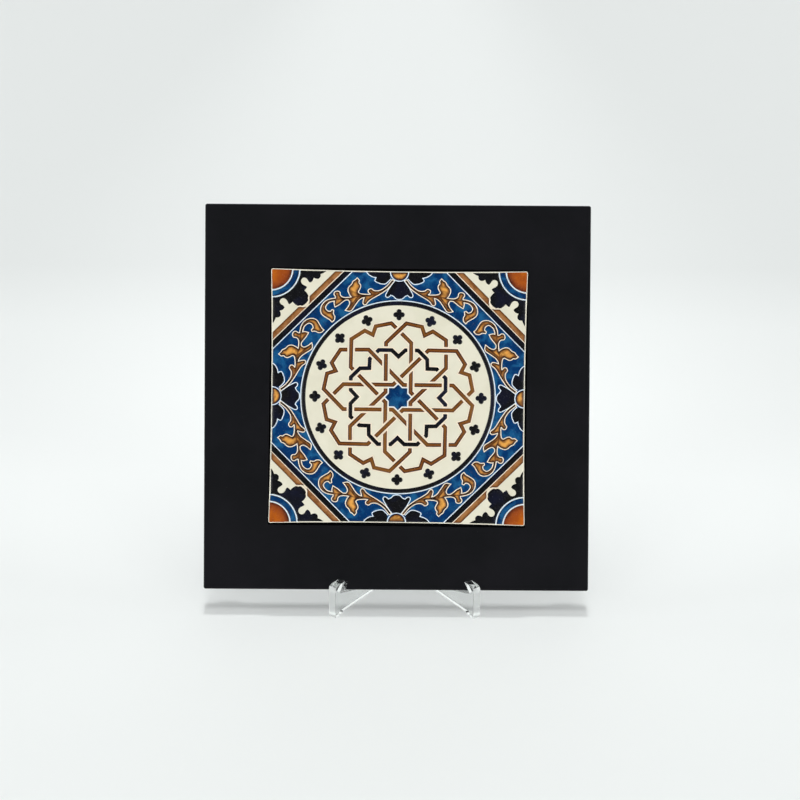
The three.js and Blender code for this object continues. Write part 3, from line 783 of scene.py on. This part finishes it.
class Relief:
    """Collects faces on the tile, whose points have a height over the ground and a depth in the glaze."""

    def __init__(self):
        self.points = []
        self.depths = []
        self.faces = []

    def take(self, points, depths, faces):
        base = len(self.points)
        self.points.extend(points)
        self.depths.extend(depths)
        self.faces.extend([tuple(base + i for i in face) for face in faces])

    def ribbon(self, path, closed, section, slants=(0.0, 0.0)):
        """Sweeps a cross-section along a path."""
        rails = [rail(path, closed, offset, slants) for offset, _, _ in section]
        count, width = len(path), len(section)
        points = [(*rails[k][i], section[k][1]) for i in range(count) for k in range(width)]
        depths = [section[k][2] for _ in range(count) for k in range(width)]
        faces = []
        for i in range(count if closed else count - 1):
            j = (i + 1) % count
            for k in range(width - 1):
                faces.append((i * width + k, j * width + k, j * width + k + 1, i * width + k + 1))
        if not closed:
            faces.append(tuple(range(width)))
            faces.append(tuple(reversed(range(len(points) - width, len(points)))))
        self.take(points, depths, faces)

    def lines(self, path, places, closed=False, half=RIDGE_HALF, slants=(0.0, 0.0)):
        """Raised lines along copies of a path."""
        for line in copies(path, places):
            self.ribbon(line, closed, ridged(half), slants)

    def cell(self, outline, fill, places=ONCE, seam=None, veins=()):
        """Fills an outline with a crowned skin, low at its edge and high a shoulder's width inside.
        An edge that the seam test names is no edge of the glaze. The glaze is thin along the veins."""
        spacing, low, high, shoulder = fill
        outline = [tuple(p[:2]) for p in outline]
        area = sum(a[0] * b[1] - b[0] * a[1] for a, b in sides_of(outline))
        if area < 0:
            outline.reverse()
        sides = sides_of(outline)
        rims = [side for side in sides if not (seam and seam(*side))]
        ribs = [rib for vein in veins for rib in zip(vein, vein[1:])]

        def inside(x, y):
            odd = False
            for (ax, ay), (bx, by) in sides:
                if (ay > y) != (by > y) and x < (bx - ax) * (y - ay) / (by - ay) + ax:
                    odd = not odd
            return odd

        flat = [Vector(p) for p in outline]
        xs, ys = zip(*outline)
        rows = int((max(ys) - min(ys)) / (spacing * ROW_STEP)) + 1
        columns = int((max(xs) - min(xs)) / spacing) + 2
        for row in range(rows):
            for column in range(columns):
                x = min(xs) + (column - (row % 2) / 2) * spacing
                y = min(ys) + row * spacing * ROW_STEP
                if inside(x, y) and nearest(x, y, rims) > spacing * EDGE_CLEAR:
                    flat.append(Vector((x, y)))
        made = delaunay_2d_cdt(flat, [], [list(range(len(outline)))], 1, 1e-5)
        points, depths = [], []
        for x, y in made[0]:
            share = 1 - math.exp(-nearest(x, y, rims) / shoulder)
            points.append((x, y, low + (high - low) * share))
            depths.append(share * (1 - VEIN_DARK * math.exp(-(nearest(x, y, ribs) / VEIN_HALF) ** 2)))
        for (flip, _), turned in zip(places, copies(points, places)):
            self.take(turned, depths, [face if flip > 0 else face[::-1] for face in made[2]])

    def build(self, name, material):
        ground = TILE_PROUD - BASIN
        wide, tall = TILE_WIDE * MM, TILE_TALL * MM
        points = [(x * wide, -(ground + h) * MM, y * tall) for x, y, h in self.points]
        obj = add_mesh(name, points, self.faces, self.depths, RELIEF_SHARP, material)
        obj.matrix_world = INLAID
        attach(obj, "framed_tile")
        return obj


def tile_body():
    """The ivory tile: bowed sides, a rounded edge, a raised rim, a flat glaze ground and a flat back."""
    side = []
    steps = 24
    for i in range(steps):
        x = -TILE_HALF + TILE_SIDE * i / steps
        y = -TILE_HALF + TILE_BOW * (1 - (x / TILE_HALF) ** 2)
        side.append((x, y, 0 if i else TILE_CORNER))
    outline = rounded(sum(copies(side, QUARTERS), []), 4)
    count = len(outline)
    points, depths = [], []
    for inset, height, depth in TILE_EDGE:
        shrink = 1 - inset / TILE_HALF
        points.extend([(x * shrink, y * shrink, height) for x, y in outline])
        depths.extend([depth] * count)
    faces = wall(len(TILE_EDGE), count)
    faces.append(tuple(range(len(points) - count, len(points))))
    body = Relief()
    body.take(points, depths, faces)
    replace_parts(body.build("tile_body", glaze("ivory glaze")), "tile")


def rosette(blue, dark, strap, ridge, warm):
    """Interlaced straps round a star, a ring of flowers, and the dark ring about them."""
    loops = [light_strap(EIGHTH_TURN / 2 + EIGHTH_TURN * k) for k in range(LIGHT_STRAPS)] + [dark_strap()]
    for index, (loop, crossings) in enumerate(zip(loops, weave(loops))):
        relief = strap if index < LIGHT_STRAPS else dark
        for path, begin, end in strap_runs(loop, crossings):
            relief.ribbon(path, False, domed(STRAP_HALF), (begin, end))
            reach = STRAP_HALF + STRAP_RIDGE * STRAP_RIDGE_SHIFT
            left = rail(path, False, reach, (begin, end))
            right = rail(path, False, -reach, (begin, end))
            warm.ribbon(left + right[::-1], True, ridged(STRAP_RIDGE, STRAP_RIDGE_HIGH))
    blue.cell(star(STAR_HALF), STAR_FILL)
    ridge.ribbon(star(STAR_HALF + FINE_RIDGE), True, ridged(FINE_RIDGE))
    for k in range(FLOWER_COUNT):
        dark.cell(quatrefoil(k * 360 / FLOWER_COUNT), FLOWER_FILL)
    dark.ribbon(circle(RING_MIDDLE), True, domed(RING_HALF))
    ridge.ribbon(circle(RING_RIDGE), True, ridged())


def field(blue):
    """The blue ground between the ring, the tile's sides and the bands across the corners."""
    far = TILE_SIDE - FIELD_SUM
    upper = []
    x = 0.0
    while x + rim_y(x) < far:
        upper.append((x, rim_y(x)))
        x += FIELD_STEP
    upper.append((far - rim_y(x), rim_y(x)))
    outline = upper + [(far / 2, far / 2)] + arc((0, 0), RING_RIDGE, 45, 90, 30)

    def seam(a, b):
        return abs(a[0] + b[0]) < 1e-6 or abs(a[0] - a[1]) + abs(b[0] - b[1]) < 1e-6

    blue.cell(outline, FIELD_FILL, EIGHTHS, seam)


def bands(amber, dark, ridge, warm):
    """Two bands across each corner, with raised lines beside them. The corner's leaves part the first."""
    def ends(total):
        y = rim_y(TILE_HALF - total)
        return (TILE_SIDE - total - y, y), (y, TILE_SIDE - total - y)

    def far_side(a, b):
        level = abs(a[0] + a[1] - b[0] - b[1]) < BAND_SLACK
        return level and a[0] + a[1] < TILE_SIDE - AMBER_BAND[1] + BAND_SLACK

    half_band = [ends(AMBER_BAND[1])[0], ends(AMBER_BAND[0])[0]] + from_corner(BAND_END)
    amber.cell(half_band, AMBER_BAND_FILL, EIGHTHS, far_side)
    first, second = ends(DARK_BAND[0])
    third, fourth = ends(DARK_BAND[1])
    dark.cell([third, first, second, fourth], DARK_BAND_FILL, QUARTERS)
    warm.lines(ends(BAND_LINE), QUARTERS, half=FINE_RIDGE, slants=(1.0, -1.0))
    ridge.lines(ends(FIELD_SUM), QUARTERS, slants=(1.0, -1.0))


def corners(blue, dark, orange, ridge, warm):
    """A quarter disc, a ring and dark leaves in each corner."""
    def quarter(radius, steps):
        away = math.degrees(math.asin(CORNER_EDGE / radius))
        return arc((0, 0), radius, away, 90 - away, steps)

    def along_side(a, b):
        return TILE_HALF - CORNER_EDGE in (max(a[0], b[0]), max(a[1], b[1]))

    inner, outer = CORNER_RING
    disc = [(CORNER_EDGE, CORNER_EDGE)] + quarter(CORNER_DISC, 16)
    orange.cell(from_corner(disc), CORNER_DISC_FILL, QUARTERS, along_side)
    blue.cell(from_corner(quarter(outer, 18) + quarter(inner, 16)[::-1]), CORNER_RING_FILL, QUARTERS)
    for radius in ((CORNER_DISC + inner) / 2, outer + CORNER_RIDGE_GAP):
        ridge.lines(from_corner(quarter(radius, 20)), QUARTERS)
    leaf = smooth(CORNER_LEAF + swapped(CORNER_LEAF)[1:], closed=False)
    hollow = [p for p in quarter(outer + CORNER_LEAF_GAP, 12) if min(p) > CORNER_LEAF_EDGE]
    dark.cell(from_corner(leaf + hollow[::-1]), CORNER_LEAF_FILL, QUARTERS)
    tip = smooth(TIP_RIDGE + swapped(TIP_RIDGE)[1:], closed=False)
    warm.lines(from_corner(tip), QUARTERS)


def flowers(dark, leaf, ridge):
    """A half disc and three dark petals in the middle of each side."""
    middle = (0, TILE_HALF - SIDE_DISC_DROP)
    away = math.degrees(math.asin((middle[1] - rim_y(0)) / SIDE_DISC))
    leaf.cell(arc(middle, SIDE_DISC, 180 + away, 360 - away, 18), SIDE_DISC_FILL, QUARTERS)
    ridge.lines(arc(middle, SIDE_RIDGE, 180 + away, 360 - away, 20), QUARTERS)
    petal = MIDDLE_PETAL + mirrored(MIDDLE_PETAL)
    dark.cell(smooth(petal), MIDDLE_PETAL_FILL, QUARTERS)
    ridge.lines(smooth(petal, closed=False), QUARTERS)
    dark.cell(smooth(SIDE_PETAL), SIDE_PETAL_FILL, EIGHTHS)
    ridge.lines(smooth(SIDE_PETAL[:-1], closed=False), EIGHTHS)


def foliage(leaf, warm):
    """Branches on both sides of each flower."""
    outline = smooth(BRANCH)
    leaf.cell(outline, BRANCH_FILL, EIGHTHS, veins=VEINS)
    warm.lines(outline, EIGHTHS, closed=True)


def ornament():
    """The tile's glazes and raised lines, one piece for each."""
    blue, dark, amber, orange, leaf, strap, ridge, warm = (Relief() for _ in range(8))
    rosette(blue, dark, strap, ridge, warm)
    field(blue)
    bands(amber, dark, ridge, warm)
    corners(blue, dark, orange, ridge, warm)
    flowers(dark, leaf, ridge)
    foliage(leaf, warm)
    blue.build("tile_blue_glaze", glaze("blue glaze"))
    dark.build("tile_dark_glaze", glaze("dark glaze"))
    amber.build("tile_amber_glaze", glaze("amber glaze"))
    orange.build("tile_corner_glaze", glaze("corner glaze"))
    leaf.build("tile_leaf_glaze", glaze("leaf glaze"))
    strap.build("tile_strap_glaze", glaze("strap glaze"))
    ridge.build("tile_ridges", glaze("ridge glaze"))
    warm.build("tile_warm_ridges", glaze("warm ridge glaze"))


# Board

def board_paint():
    """Satin black paint, thin on the edges, with a little dust."""
    n = Nodes("black paint")
    body = n.mix(n.span(n.noise(26, detail=4.0), 0.35, 0.7), srgb(15, 16, 19), srgb(20, 20, 24))
    edge = n.mix(n.attribute("depth"), srgb(34, 34, 36), body)
    dust = n.span(n.noise(1500, detail=1.0), 0.79, 0.83, out_high=0.5)
    n.shade(Base_Color=n.mix(dust, edge, srgb(120, 120, 118)), IOR=1.45, Specular_IOR_Level=0.1)
    n.shade(Roughness=n.span(n.noise(300), 0.3, 0.7, 0.42, 0.56))
    waves = n.math("MULTIPLY", n.noise(60, detail=2.0), 0.6)
    n.bump(n.math("ADD", n.noise(1800), waves), strength=0.1, distance=0.0003)
    return n.made


def board():
    """The painted board: eased edges, rounded corners, and a pocket that the tile sits in."""
    half = BOARD_SIDE / 2
    quadrants = ((1, 1), (-1, 1), (-1, -1), (1, -1))

    def outline(inset):
        points = []
        for corner, (sx, sy) in enumerate(quadrants):
            centre = (sx * (half - BOARD_CORNER), sy * (half - BOARD_CORNER))
            points.extend(arc(centre, BOARD_CORNER - inset, corner * 90, corner * 90 + 90, BOARD_STEPS))
        return points

    rings = [(BOARD_ARRIS + FACE_MARGIN, BOARD_THICK, 1.0)]
    for i in range(BOARD_STEPS + 1):
        turn = math.radians(90 * i / BOARD_STEPS)
        inset = BOARD_ARRIS * (1 - math.sin(turn))
        paint = ARRIS_PAINT if 0 < i < BOARD_STEPS else 1.0
        rings.append((inset, BOARD_THICK - BOARD_ARRIS * (1 - math.cos(turn)), paint))
    rings += [(inset, BOARD_THICK - depth, paint) for inset, depth, paint in reversed(rings)]
    points, paints = [], []
    for inset, depth, paint in rings:
        for x, y in outline(inset):
            points.append((x, depth, y + half))
            paints.append(paint)
    corner_points = BOARD_STEPS + 1
    count = 4 * corner_points
    faces = wall(len(rings), count)
    front = (len(rings) - 1) * count
    reach = TILE_HALF + TILE_FIT
    c, s = math.cos(TILE_TURN), math.sin(TILE_TURN)
    pocket = len(points)
    for depth in (0.0, POCKET_DEPTH):
        for sx, sy in quadrants:
            x, y = sx * reach, sy * reach
            points.append((TILE_OFFSET + x * c + y * s, depth, half - x * s + y * c))
            paints.append(1.0)
    for corner in range(4):
        here = pocket + corner
        after = pocket + (corner + 1) % 4
        first = front + corner * corner_points
        for i in range(BOARD_STEPS):
            faces.append((first + i, first + i + 1, here))
        faces.append((first + BOARD_STEPS, front + (corner + 1) % 4 * corner_points, after, here))
        faces.append((here, after, after + 4, here + 4))
    faces.append(tuple(range(pocket + 4, pocket + 8)))
    metres = [tuple(v * MM for v in p) for p in points]
    obj = add_mesh("painted_board", metres, faces, paints, BOARD_SHARP, board_paint())
    obj.matrix_world = LEANING
    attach(obj, "framed_tile")
    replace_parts(obj, "board")


# Easel

def acrylic(name, pale, deep, through, low, high):
    """Polished acrylic, with a range of roughness. Light on its way to a matt surface passes straight."""
    n = Nodes(name)
    tint = n.mix(n.noise(90), srgb(*pale), srgb(*deep))
    n.shade(Base_Color=tint, Transmission_Weight=through, IOR=1.49)
    n.shade(Roughness=n.span(n.noise(500, stretch=(1, 0.2, 1)), 0.35, 0.7, low, high))
    path = n.add("ShaderNodeLightPath")
    passing = n.math("MAXIMUM", path.outputs["Is Shadow Ray"], path.outputs["Is Diffuse Ray"])
    n.blend(passing, n.shader, n.add("ShaderNodeBsdfTransparent"))
    return n.made


def seat_point(behind, up):
    """Depth and height of a point given behind the board's face and up along the board."""
    return (
        SEAT_DEPTH + behind * math.cos(LEAN) + up * math.sin(LEAN),
        seat_front_z - behind * math.sin(LEAN) + up * math.cos(LEAN),
    )


def plate_outline(side):
    """One plate's outline along its own length, with its half of the lap joint."""
    oblique = PLATE_THICK / 2 * math.sin(SPREAD)
    face_gap = CONTACT_GAP + oblique * math.cos(LEAN)
    floor_gap = CONTACT_GAP + oblique * math.sin(LEAN)
    arm_front = BOARD_THICK + face_gap
    cross = FOOT_HALF / math.tan(SPREAD)
    rear = cross + TAIL
    web = seat_point(arm_front + ARM_WAIST, WEB_RISE)
    slope = (TAIL_HEIGHT - web[1]) / (rear - web[0])

    def top(depth):
        return web[1] + slope * (depth - web[0])

    lap = top(cross) / 2
    slot = (PLATE_THICK + 2 * LAP_FIT) / math.sin(2 * SPREAD) + PLATE_THICK / math.tan(2 * SPREAD)
    slot = slot / 2 * math.cos(SPREAD)
    near, far = cross - slot, cross + slot
    claw = seat_point(-face_gap, CLAW_RISE)
    foot = FOOT_LENGTH + FOOT_RELIEF
    below, above = [], []
    if side > 0:
        end = lap + LAP_FIT / 2
        notch = [(near, FOOT_RELIEF), (near, end), (far, end), (far, FOOT_RELIEF)]
        below = [(*point, LAP_CUT) for point in notch]
    else:
        end = lap - LAP_FIT / 2
        notch = [(far, top(far)), (far, end), (near, end), (near, top(near))]
        above = [(*point, LAP_CUT) for point in notch]
    points = [
        (0, 0, FOOT_CUT),
        (FOOT_LENGTH, 0, 0),
        (foot, FOOT_RELIEF, FOOT_CUT),
        *below,
        (rear - foot, FOOT_RELIEF, FOOT_CUT),
        (rear - FOOT_LENGTH, 0, 0),
        (rear, 0, FOOT_CUT),
        (rear, TAIL_HEIGHT, TAIL_CUT),
        *above,
        (*web, WEB_CUT),
        (*seat_point(arm_front + ARM_TOP, ARM_LENGTH), ARM_BACK_CUT),
        (*seat_point(arm_front, ARM_LENGTH), ARM_FRONT_CUT),
        (*seat_point(arm_front, -floor_gap), SEAT_CUT),
        (*seat_point(-face_gap - CLAW_HOLLOW, -floor_gap), HOLLOW_CUT),
        (*claw, CLAW_TIP_CUT),
        (0, claw[1], CLAW_CUT),
    ]
    return rounded([(depth / math.cos(SPREAD), z, cut) for depth, z, cut in points])


def plate(name, node, side, clear, cut, front):
    """One clear plate with softened edges: clear faces, polished cut edges, and a paler front end."""
    bm = bmesh.new()
    outline = plate_outline(side)
    ends = []
    for w in (-PLATE_THICK / 2, PLATE_THICK / 2):
        ends.append([bm.verts.new((u * MM, w * MM, z * MM)) for u, z in outline])
    bm.faces.new(ends[0])
    bm.faces.new(ends[1][::-1])
    for i in range(len(outline)):
        bm.faces.new((ends[0][i - 1], ends[1][i - 1], ends[1][i], ends[0][i]))
    bmesh.ops.recalc_face_normals(bm, faces=bm.faces)
    rims = [e for e in bm.edges if abs(e.verts[0].co.y - e.verts[1].co.y) < 1e-7]
    bmesh.ops.bevel(bm, geom=rims, offset=PLATE_EDGE * MM, segments=2, profile=0.5, affect="EDGES")
    for face in bm.faces:
        near = face.calc_center_median().x < CLAW_REACH * MM
        if abs(face.normal.y) > FLAT:
            face.material_index = 0
        elif near and face.normal.x - face.normal.z < FRONTAL and face.normal.z < CLAW_CLEAR:
            face.material_index = 2
        else:
            face.material_index = 1
    bmesh.ops.triangulate(bm, faces=[face for face in bm.faces if len(face.verts) > 4])
    mesh = bpy.data.meshes.new(name)
    bm.to_mesh(mesh)
    bm.free()
    soften(mesh, PLATE_SHARP)
    for material in (clear, cut, front):
        mesh.materials.append(material)
    obj = add_object(name, mesh)
    foot = Vector(((EASEL_SHIFT + side * FOOT_HALF) * MM, easel_y, 0))
    obj.matrix_world = Matrix.Translation(foot) @ Matrix.Rotation(math.pi / 2 + side * SPREAD, 4, "Z")
    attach(obj, "easel")
    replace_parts(obj, node)


def easel():
    """Two crossed plates."""
    clear = acrylic("clear acrylic", (250, 253, 252), (254, 255, 254), through=1.0, low=0.0, high=0.03)
    cut = acrylic("acrylic edge", (246, 250, 248), (254, 255, 254), through=1.0, low=0.0, high=0.05)
    end = acrylic("acrylic front end", (240, 245, 243), (250, 253, 252), through=0.44, low=0.04, high=0.12)
    plate("clear_left_plate", "easel_left_plate", -1, clear, cut, end)
    plate("clear_right_plate", "easel_right_plate", 1, clear, cut, end)


# Back hardware and glue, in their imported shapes

def zinc():
    n = Nodes("zinc plate")
    tint = n.mix(n.noise(500, detail=4.0), srgb(150, 151, 152), srgb(186, 186, 184))
    n.shade(Base_Color=tint, Metallic=1.0)
    n.shade(Roughness=n.span(n.noise(900, detail=4.0, stretch=(0.08, 1, 1)), 0.3, 0.7, 0.24, 0.44))
    n.bump(n.noise(1600, stretch=(0.06, 1, 1)), strength=0.1, distance=0.0002)
    return n.made


def felt():
    n = Nodes("black felt")
    n.shade(Base_Color=n.mix(n.noise(2600, detail=4.0), srgb(16, 16, 17), srgb(44, 44, 45)))
    n.shade(Roughness=0.95, Sheen_Weight=0.3, Sheen_Roughness=0.6)
    n.bump(n.noise(3000, detail=4.0), strength=0.5, distance=0.0006)
    return n.made


def glue():
    n = Nodes("set glue")
    n.shade(Base_Color=n.mix(n.noise(160), srgb(206, 198, 172), srgb(226, 220, 200)))
    n.shade(Roughness=n.span(n.noise(300, detail=2.0), 0.3, 0.7, 0.35, 0.55))
    n.bump(n.noise(220), strength=0.2, distance=0.0005)
    return n.made


def dress(names, material):
    """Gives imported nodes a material."""
    for name in names:
        for slot in frame["nodes"][name].material_slots:
            slot.material = material


# Light, floor and camera

# The dome's level, its dim place and the share left there
DOME = 0.3
DIM = (0, 20, 34, 20)
DIM_SHARE = 0.12

# The dome's lamps: azimuth, elevation, outer angle, inner angle, level
LAMPS = (
    (92, 12, 22, 6, 7.0),
    (-92, 12, 22, 6, 7.0),
    (40, 14, 26, 10, 2.55),
    (-40, 14, 26, 10, 2.55),
    (180, 10, 50, 15, 0.6),
)

# Far lamps overhead: level, degrees of tilt toward the back, and apparent size in degrees
OVERHEAD = ((0.8, 19.7, 1.6), (0.45, -10, 16))

# The floor's paleness by depth, from near to far, behind the object and off to its sides, in metres. This
# paleness is painted light and shade: brighter in a band behind the object, where it lifts the board's
# soft shadows, and darker far off and off to the sides.
BACKDROP = srgb(250, 254, 253)
FLOOR_SIZE = 40
FLOOR_DROP = 0.0001
FLOOR_NEAR = -0.2
FLOOR_FAR = 0.9
FLOOR_MIDDLE_SHADING = (
    (0.0, 238), (0.13, 241), (0.18, 246), (0.32, 253), (0.47, 251), (0.66, 243), (0.84, 234), (1.0, 233),
)
FLOOR_ASIDE_SHADING = ((0.0, 231), (0.64, 232), (0.84, 224), (1.0, 224))
FLOOR_TURN = (0.1, 0.5)

# The camera's distance and the width that it sees there, in metres, its aim from the board's middle
# in millimetres, and its angles in radians
CAMERA_FAR = 0.85
CAMERA_WIDTH = 0.4746
CAMERA_SENSOR = 36
AIM_RIGHT = 1.8
AIM_DOWN = 1.35
CAMERA_RISE = math.radians(0.8)
CAMERA_ROLL = math.radians(0.36)


def world():
    """A white dome with soft lamps at both sides, in front and behind, dim where the board mirrors it."""
    n = Nodes("studio", world=True)
    scene.world = n.made
    coordinates = n.add("ShaderNodeTexCoord").outputs["Generated"]

    def toward(azimuth, elevation, wide, narrow, low, high):
        """A level by the angle off a direction: azimuth 0 is in front, 90 to the right."""
        turn, rise = math.radians(azimuth), math.radians(elevation)
        across = math.cos(rise)
        dot = n.add("ShaderNodeVectorMath", operation="DOT_PRODUCT")
        dot.inputs[1].default_value = (across * math.sin(turn), -across * math.cos(turn), math.sin(rise))
        n.feed(coordinates, dot.inputs[0])
        edges = [math.cos(math.radians(angle)) for angle in (wide, narrow)]
        return n.span(dot.outputs["Value"], *edges, low, high)

    level = toward(*DIM, DOME, DOME * DIM_SHARE)
    for *spot, bright in LAMPS:
        level = n.math("ADD", level, toward(*spot, 0.0, bright))
    n.shade(Color=(1, 1, 1, 1), Strength=level)
    seen = n.add("ShaderNodeBackground")
    n.give(seen, Color=BACKDROP)
    path = n.add("ShaderNodeLightPath")
    plain = n.math("MAXIMUM", path.outputs["Is Camera Ray"], path.outputs["Is Transmission Ray"])
    n.blend(plain, n.shader, seen)


def overhead():
    """Far lamps above, nearly in line with the board, which leave a narrow shadow under it."""
    for level, tilt, size in OVERHEAD:
        data = bpy.data.lights.new("overhead", "SUN")
        data.energy = level
        data.angle = math.radians(size)
        obj = add_object("overhead", data)
        obj.rotation_euler.x = -math.radians(tilt)


def floor():
    """A pale floor that runs out to the backdrop, with painted light and shade in its colour."""
    def pale(level):
        return srgb(level - 4, level, level - 1)

    n = Nodes("floor with painted shading")
    place = n.add("ShaderNodeSeparateXYZ")
    n.give(place, Vector=n.place())
    depth = n.span(place.outputs["Y"], FLOOR_NEAR, FLOOR_FAR, kind="LINEAR")
    # Painted light and shade: each ramp sets the floor's brightness by depth, the middle one brighter
    # behind the object
    middle, aside = (
        n.ramp(depth, [(stop, pale(level)) for stop, level in stops])
        for stops in (FLOOR_MIDDLE_SHADING, FLOOR_ASIDE_SHADING)
    )
    beside = n.span(n.math("ABSOLUTE", place.outputs["X"], 0.0), *FLOOR_TURN)
    n.shade(Base_Color=n.mix(beside, middle, aside), Roughness=0.9, Specular_IOR_Level=0.05)
    bpy.ops.mesh.primitive_plane_add(size=FLOOR_SIZE, location=(0, 0, -FLOOR_DROP))
    obj = bpy.context.object
    obj.name = "floor"
    obj.data.materials.append(n.made)


def camera():
    """The photograph's view: nearly square to the board, with a slight roll."""
    data = bpy.data.cameras.new("camera")
    data.sensor_width = CAMERA_SENSOR
    data.lens = data.sensor_width * CAMERA_FAR / CAMERA_WIDTH
    obj = add_object("camera", data)
    elevation = LEAN + CAMERA_RISE
    look = Vector((0, math.cos(elevation), -math.sin(elevation)))
    aim = LEANING @ Vector((AIM_RIGHT * MM, 0, (BOARD_SIDE / 2 - AIM_DOWN) * MM))
    turn = look.to_track_quat("-Z", "Y").to_matrix().to_4x4()
    roll = Matrix.Rotation(CAMERA_ROLL, 4, "Z")
    obj.matrix_world = Matrix.Translation(aim - look * CAMERA_FAR) @ turn @ roll
    scene.camera = obj


camera()
tile_body()
ornament()
board()
easel()
dress(["hanger", "hanger_nail_left", "hanger_nail_right"], zinc())
dress([f"felt_pad_{i}" for i in range(1, 5)], felt())
dress([f"glue_dab_{i}" for i in range(1, 6)], glue())
floor()
world()
overhead()
